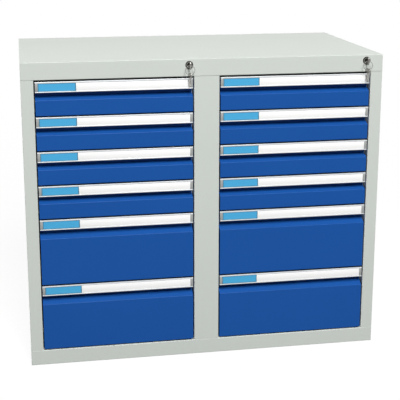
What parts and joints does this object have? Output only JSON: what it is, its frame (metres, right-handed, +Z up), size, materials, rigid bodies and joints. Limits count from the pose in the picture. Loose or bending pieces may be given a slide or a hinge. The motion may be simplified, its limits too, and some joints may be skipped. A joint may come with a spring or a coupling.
{
  "type": "multi-drawer cabinet",
  "caption": "Floor-standing steel workshop cabinet with two columns of blue drawers, label handle strips, ball-slide trays and a key lock with a locking bar for each column.",
  "frame": {"origin": "centre of the base, on the floor", "axes": "+Z up, +X to the right of someone facing the drawers, drawers open towards -Y"},
  "size_m": [1.05, 0.6087, 0.9],
  "materials": {
    "carcass_powder_coat": "fine-textured light grey powder coat",
    "front_powder_coat": "fine-textured gentian blue powder coat",
    "tray_powder_coat": "smooth light grey powder coat",
    "zinc_plated_steel": "bright zinc plating",
    "anodised_aluminium": "natural satin anodised",
    "lock_nickel": "nickel plated",
    "guide_plastic": "moulded black acetal",
    "label_card": "white card",
    "tab_card": "light blue card",
    "end_plug_plastic": "grey moulded plastic"
  },
  "bodies": {
    "cabinet": {"top_cover": "carcass_powder_coat", "base_tray": "carcass_powder_coat", "left_side_panel": "carcass_powder_coat", "right_side_panel": "carcass_powder_coat", "back_panel": "carcass_powder_coat", "back_panel_screws": "zinc_plated_steel", "centre_front_post": "carcass_powder_coat", "centre_rear_post": "carcass_powder_coat", "left_column_runners": "zinc_plated_steel", "right_column_runners": "zinc_plated_steel", "left_lock_housing": "lock_nickel", "right_lock_housing": "lock_nickel", "lock_nuts": "lock_nickel", "locking_bar_guides": "guide_plastic"},
    "left_drawer_1": {"left_drawer_1_tray": "tray_powder_coat", "left_drawer_1_front": "front_powder_coat", "left_drawer_1_handle": "anodised_aluminium"},
    "left_drawer_2": {"left_drawer_2_tray": "tray_powder_coat", "left_drawer_2_front": "front_powder_coat", "left_drawer_2_handle": "anodised_aluminium"},
    "left_drawer_3": {"left_drawer_3_tray": "tray_powder_coat", "left_drawer_3_front": "front_powder_coat", "left_drawer_3_handle": "anodised_aluminium"},
    "left_drawer_4": {"left_drawer_4_tray": "tray_powder_coat", "left_drawer_4_front": "front_powder_coat", "left_drawer_4_handle": "anodised_aluminium"},
    "left_drawer_5": {"left_drawer_5_tray": "tray_powder_coat", "left_drawer_5_front": "front_powder_coat", "left_drawer_5_handle": "anodised_aluminium"},
    "left_drawer_6": {"left_drawer_6_tray": "tray_powder_coat", "left_drawer_6_front": "front_powder_coat", "left_drawer_6_handle": "anodised_aluminium"},
    "left_lock": {"left_lock_plug": "lock_nickel", "left_key": "lock_nickel"},
    "left_ring": {"left_key_ring": "lock_nickel"},
    "left_hanging_key": {"left_spare_key": "lock_nickel"},
    "left_bar": {"left_locking_bar": "zinc_plated_steel"},
    "right_drawer_1": {"right_drawer_1_tray": "tray_powder_coat", "right_drawer_1_front": "front_powder_coat", "right_drawer_1_handle": "anodised_aluminium"},
    "right_drawer_2": {"right_drawer_2_tray": "tray_powder_coat", "right_drawer_2_front": "front_powder_coat", "right_drawer_2_handle": "anodised_aluminium"},
    "right_drawer_3": {"right_drawer_3_tray": "tray_powder_coat", "right_drawer_3_front": "front_powder_coat", "right_drawer_3_handle": "anodised_aluminium"},
    "right_drawer_4": {"right_drawer_4_tray": "tray_powder_coat", "right_drawer_4_front": "front_powder_coat", "right_drawer_4_handle": "anodised_aluminium"},
    "right_drawer_5": {"right_drawer_5_tray": "tray_powder_coat", "right_drawer_5_front": "front_powder_coat", "right_drawer_5_handle": "anodised_aluminium"},
    "right_drawer_6": {"right_drawer_6_tray": "tray_powder_coat", "right_drawer_6_front": "front_powder_coat", "right_drawer_6_handle": "anodised_aluminium"},
    "right_lock": {"right_lock_plug": "lock_nickel", "right_key": "lock_nickel"},
    "right_ring": {"right_key_ring": "lock_nickel"},
    "right_hanging_key": {"right_spare_key": "lock_nickel"},
    "right_bar": {"right_locking_bar": "zinc_plated_steel"}
  },
  "joints": [
    {"name": "left_drawer_1_slide", "type": "slide", "parent": "cabinet", "child": "left_drawer_1", "axis": [0, -1, 0], "range_m": [0, 0.4]},
    {"name": "left_drawer_2_slide", "type": "slide", "parent": "cabinet", "child": "left_drawer_2", "axis": [0, -1, 0], "range_m": [0, 0.4]},
    {"name": "left_drawer_3_slide", "type": "slide", "parent": "cabinet", "child": "left_drawer_3", "axis": [0, -1, 0], "range_m": [0, 0.4]},
    {"name": "left_drawer_4_slide", "type": "slide", "parent": "cabinet", "child": "left_drawer_4", "axis": [0, -1, 0], "range_m": [0, 0.4]},
    {"name": "left_drawer_5_slide", "type": "slide", "parent": "cabinet", "child": "left_drawer_5", "axis": [0, -1, 0], "range_m": [0, 0.4]},
    {"name": "left_drawer_6_slide", "type": "slide", "parent": "cabinet", "child": "left_drawer_6", "axis": [0, -1, 0], "range_m": [0, 0.4]},
    {"name": "left_lock_turn", "type": "hinge", "parent": "cabinet", "child": "left_lock", "pos_m": [-0.051, -0.29, 0.883], "axis": [0, -1, 0], "range_deg": [0, 90]},
    {"name": "left_bar_lift", "type": "slide", "parent": "cabinet", "child": "left_bar", "axis": [0, 0, 1], "range_m": [0, 0.01131]},
    {"name": "left_ring_hang", "type": "hinge", "parent": "left_lock", "child": "left_ring", "pos_m": [-0.051, -0.3055, 0.883], "axis": [0, -1, 0], "range_deg": [-49.6, 0]},
    {"name": "left_spare_key_swing", "type": "hinge", "parent": "left_ring", "child": "left_hanging_key", "pos_m": [-0.051, -0.3055, 0.856], "axis": [-1, 0, 0], "range_deg": [0, 75]},
    {"name": "right_drawer_1_slide", "type": "slide", "parent": "cabinet", "child": "right_drawer_1", "axis": [0, -1, 0], "range_m": [0, 0.4]},
    {"name": "right_drawer_2_slide", "type": "slide", "parent": "cabinet", "child": "right_drawer_2", "axis": [0, -1, 0], "range_m": [0, 0.4]},
    {"name": "right_drawer_3_slide", "type": "slide", "parent": "cabinet", "child": "right_drawer_3", "axis": [0, -1, 0], "range_m": [0, 0.4]},
    {"name": "right_drawer_4_slide", "type": "slide", "parent": "cabinet", "child": "right_drawer_4", "axis": [0, -1, 0], "range_m": [0, 0.4]},
    {"name": "right_drawer_5_slide", "type": "slide", "parent": "cabinet", "child": "right_drawer_5", "axis": [0, -1, 0], "range_m": [0, 0.4]},
    {"name": "right_drawer_6_slide", "type": "slide", "parent": "cabinet", "child": "right_drawer_6", "axis": [0, -1, 0], "range_m": [0, 0.4]},
    {"name": "right_lock_turn", "type": "hinge", "parent": "cabinet", "child": "right_lock", "pos_m": [0.475, -0.29, 0.883], "axis": [0, -1, 0], "range_deg": [0, 90]},
    {"name": "right_bar_lift", "type": "slide", "parent": "cabinet", "child": "right_bar", "axis": [0, 0, 1], "range_m": [0, 0.01131]},
    {"name": "right_ring_hang", "type": "hinge", "parent": "right_lock", "child": "right_ring", "pos_m": [0.475, -0.3055, 0.883], "axis": [0, -1, 0], "range_deg": [-49.6, 0]},
    {"name": "right_spare_key_swing", "type": "hinge", "parent": "right_ring", "child": "right_hanging_key", "pos_m": [0.475, -0.3055, 0.856], "axis": [-1, 0, 0], "range_deg": [0, 75]}
  ],
  "couplings": [
    {"joint": "left_lock_turn", "follows": "left_bar_lift", "rad_per_m": 138.84},
    {"joint": "left_ring_hang", "follows": "left_bar_lift", "rad_per_m": -76.362},
    {"joint": "right_lock_turn", "follows": "right_bar_lift", "rad_per_m": 138.84},
    {"joint": "right_ring_hang", "follows": "right_bar_lift", "rad_per_m": -76.362}
  ]
}
